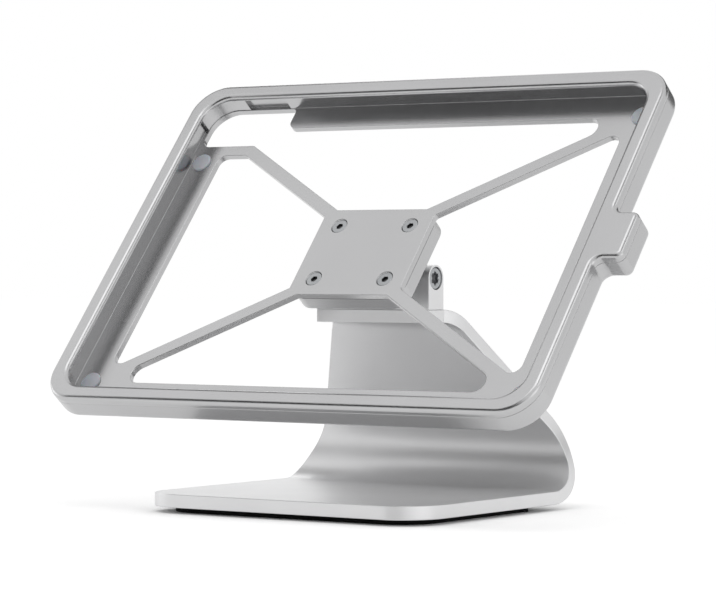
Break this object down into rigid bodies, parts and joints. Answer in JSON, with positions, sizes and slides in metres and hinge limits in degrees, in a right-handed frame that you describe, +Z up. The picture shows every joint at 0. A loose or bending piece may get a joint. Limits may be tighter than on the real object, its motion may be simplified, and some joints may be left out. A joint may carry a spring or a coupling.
{
  "type": "tablet stand",
  "caption": "Desktop tablet stand: a bent aluminium sheet with a rubber mat carries a friction hinge and a framed tray that holds a tablet and its charging plug.",
  "frame": {"origin": "middle of the mat under the flat base, on the table", "axes": "+X to the right along the tray's long side, +Y to the back, +Z up"},
  "size_m": [0.2733, 0.1374, 0.1955],
  "materials": {
    "sheet_metal": "satin",
    "bracket_metal": "satin",
    "tray_metal": "finely brushed",
    "mat_rubber": "matte",
    "steel": "satin",
    "dark_steel": "oiled",
    "bronze": "satin",
    "friction_lining": "matte",
    "pad_silicone": "translucent",
    "holder_plastic": "matte",
    "grommet_rubber": "matte"
  },
  "bodies": {
    "stand": {"stand_sheet": "sheet_metal", "base_mat": "mat_rubber", "hinge_bracket": "bracket_metal", "bracket_screws": "dark_steel", "hinge_axle": "steel", "pivot_screw_right": "steel", "pivot_screw_left": "steel", "disc_spring_right": "dark_steel", "disc_spring_left": "dark_steel", "friction_washer_right": "friction_lining", "friction_washer_left": "friction_lining"},
    "tray": {"hinge_bush_right": "bronze", "hinge_bush_left": "bronze", "hinge_knuckle": "bracket_metal", "knuckle_screws": "steel", "mount_block": "tray_metal", "casing_screws": "steel", "tray_casing": "tray_metal", "front_bezel": "tray_metal", "bezel_screws": "dark_steel", "pad_top_left": "pad_silicone", "pad_top_right": "pad_silicone", "pad_bottom_left": "pad_silicone", "pad_bottom_right": "pad_silicone", "plug_holder": "holder_plastic", "holder_screws": "dark_steel", "cable_grommet": "grommet_rubber"}
  },
  "joints": [
    {"name": "tray_tilt", "type": "hinge", "parent": "stand", "child": "tray", "pos_m": [0, 0.02582, 0.10368], "axis": [1, 0, 0], "range_deg": [-50, 30]}
  ]
}
